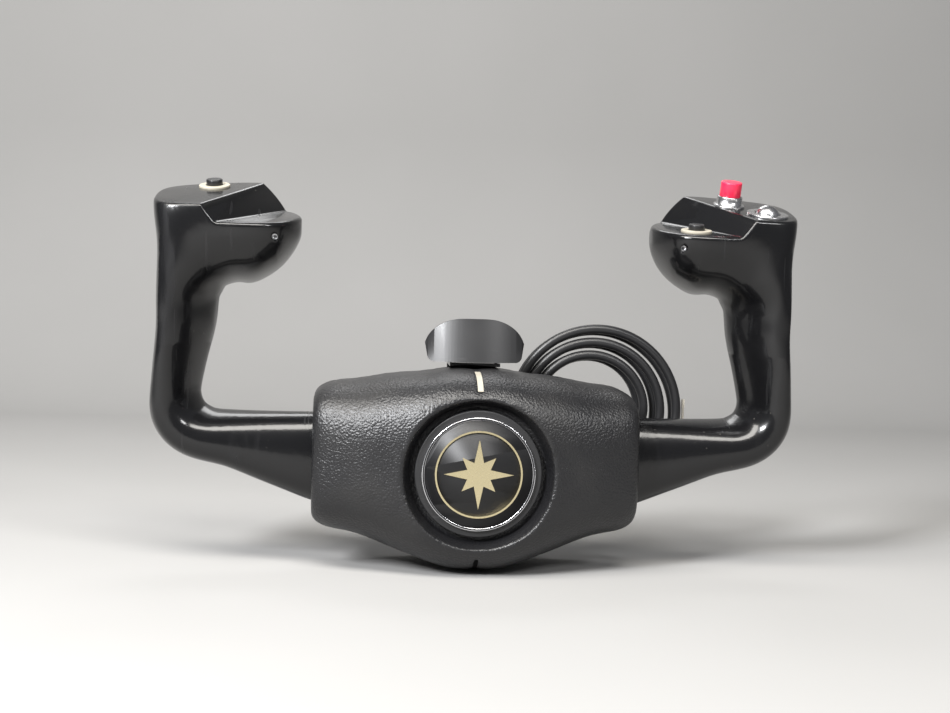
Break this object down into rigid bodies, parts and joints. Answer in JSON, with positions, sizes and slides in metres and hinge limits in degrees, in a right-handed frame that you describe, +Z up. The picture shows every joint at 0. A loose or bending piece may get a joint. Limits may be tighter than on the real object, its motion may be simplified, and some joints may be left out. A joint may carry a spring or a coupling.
{
  "type": "aircraft control yoke",
  "caption": "U-shaped pilot's control wheel with gloss black horns, padded hub with a round medallion, push buttons, trim rocker, chart clip and coiled cable.",
  "frame": {"origin": "on the shaft axis at the mouth of the shaft bore, the rear end of the hub boss", "axes": "+X to the pilot's right, +Y forward along the shaft, +Z up"},
  "size_m": [0.3806, 0.104, 0.2343],
  "materials": {
    "black_enamel": "black enamel, high gloss",
    "pad_leather": "fine pebble grain, satin",
    "hub_alloy": "as cast",
    "steel": "satin",
    "black_plastic": "satin",
    "cream_plastic": "satin",
    "natural_nylon": "satin",
    "bright_trim": "polished",
    "medallion_black": "gloss",
    "medallion_gold": "satin",
    "button_black": "satin",
    "button_red": "gloss",
    "clip_gloss": "gloss",
    "cable_rubber": "satin",
    "plug_alloy": "anodised"
  },
  "bodies": {
    "yoke": {"hub_casting": "hub_alloy", "horn_bolts": "steel", "pad_backing_plate": "steel", "pad_bolts": "steel", "hub_pad": "pad_leather", "medallion_cup": "black_plastic", "medallion_ring": "bright_trim", "medallion_disc": "medallion_black", "medallion_motif": "medallion_gold", "medallion_nut": "steel", "index_strip": "cream_plastic", "seam_strip": "black_plastic", "rear_cover": "black_plastic", "rear_cover_screws": "steel", "left_horn": "black_enamel", "right_horn": "black_enamel", "left_head_cover": "black_enamel", "right_head_cover": "black_enamel", "head_cover_screws": "steel", "switch_lock_screws": "steel", "left_switch_body": "black_plastic", "left_switch_ring": "cream_plastic", "right_switch_body": "black_plastic", "right_switch_ring": "cream_plastic", "red_switch_body": "black_plastic", "red_switch_collar": "bright_trim", "trim_switch_body": "black_plastic", "trim_plate": "bright_trim", "trim_pin": "steel", "left_harness": "cable_rubber", "right_harness": "cable_rubber", "terminal_block": "black_plastic", "inner_lead": "cable_rubber", "clip_base": "black_enamel", "clip_screws": "steel", "clip_pin": "steel", "clip_spring": "steel", "cable_gland": "black_plastic", "cable_lead": "cable_rubber", "cable_coil": "cable_rubber", "cable_tail": "cable_rubber", "connector_backshell": "black_plastic", "connector_shell": "plug_alloy", "connector_ring": "plug_alloy", "cable_ties": "natural_nylon", "tie_mount": "black_plastic", "left_button_spring": "steel", "right_button_spring": "steel", "red_button_spring": "steel"},
    "left_push": {"left_button": "button_black"},
    "right_push": {"right_button": "button_black"},
    "red_push": {"red_button": "button_red"},
    "trim": {"trim_rocker": "bright_trim"},
    "chart_clip": {"clip_lever": "clip_gloss"}
  },
  "joints": [
    {"name": "left_button_press", "type": "slide", "parent": "yoke", "child": "left_push", "axis": [0.0387, 0.2473, -0.9682], "range_m": [0, 0.0025], "stiffness_N_per_m": 900, "springref_m": -0.002, "deforming": ["left_button_spring"]},
    {"name": "right_button_press", "type": "slide", "parent": "yoke", "child": "right_push", "axis": [0, 0.1561, -0.9877], "range_m": [0, 0.0025], "stiffness_N_per_m": 900, "springref_m": -0.002, "deforming": ["right_button_spring"]},
    {"name": "red_button_press", "type": "slide", "parent": "yoke", "child": "red_push", "axis": [-0.0387, 0.2473, -0.9682], "range_m": [0, 0.0025], "stiffness_N_per_m": 900, "springref_m": -0.002, "deforming": ["red_button_spring"]},
    {"name": "trim_rock", "type": "hinge", "parent": "yoke", "child": "trim", "pos_m": [0.17094, -0.0596, 0.1527], "axis": [0.9992, 0, -0.04], "range_deg": [-12, 12], "stiffness_Nm_per_rad": 0.05},
    {"name": "clip_open", "type": "hinge", "parent": "yoke", "child": "chart_clip", "pos_m": [0, -0.028, 0.0682], "axis": [-1, 0, 0], "range_deg": [0, 25], "stiffness_Nm_per_rad": 0.15, "springref_deg": -34.38}
  ]
}
